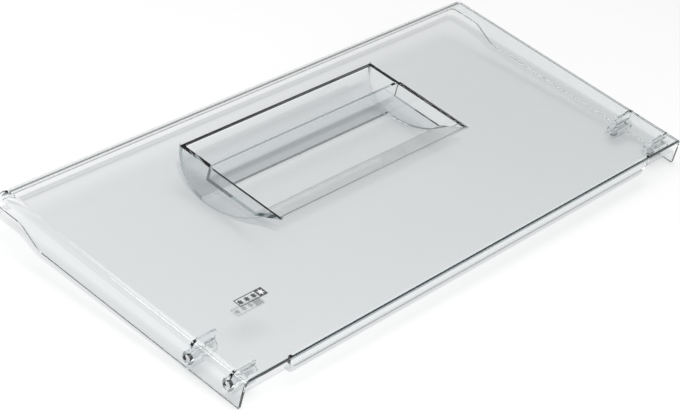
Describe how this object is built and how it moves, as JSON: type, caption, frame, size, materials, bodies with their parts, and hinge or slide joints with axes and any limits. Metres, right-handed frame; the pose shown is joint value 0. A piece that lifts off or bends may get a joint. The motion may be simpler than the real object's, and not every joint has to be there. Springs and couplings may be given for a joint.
{
  "type": "freezer compartment flap",
  "caption": "Clear moulded freezer compartment flap: flat panel with turned-down rim, side flanges with hinge bosses and a recessed finger grip.",
  "frame": {"origin": "centre of the bounding box, at the lowest point of the grip", "axes": "+X along the hinge edge, +Y from the hinge edge to the grip edge, +Z out of the front of the panel"},
  "size_m": [0.437, 0.202, 0.028],
  "materials": {
    "clear_plastic": "clear polystyrene, polished mould finish"
  },
  "bodies": {
    "root": {"flap": "clear_plastic"}
  },
  "joints": []
}
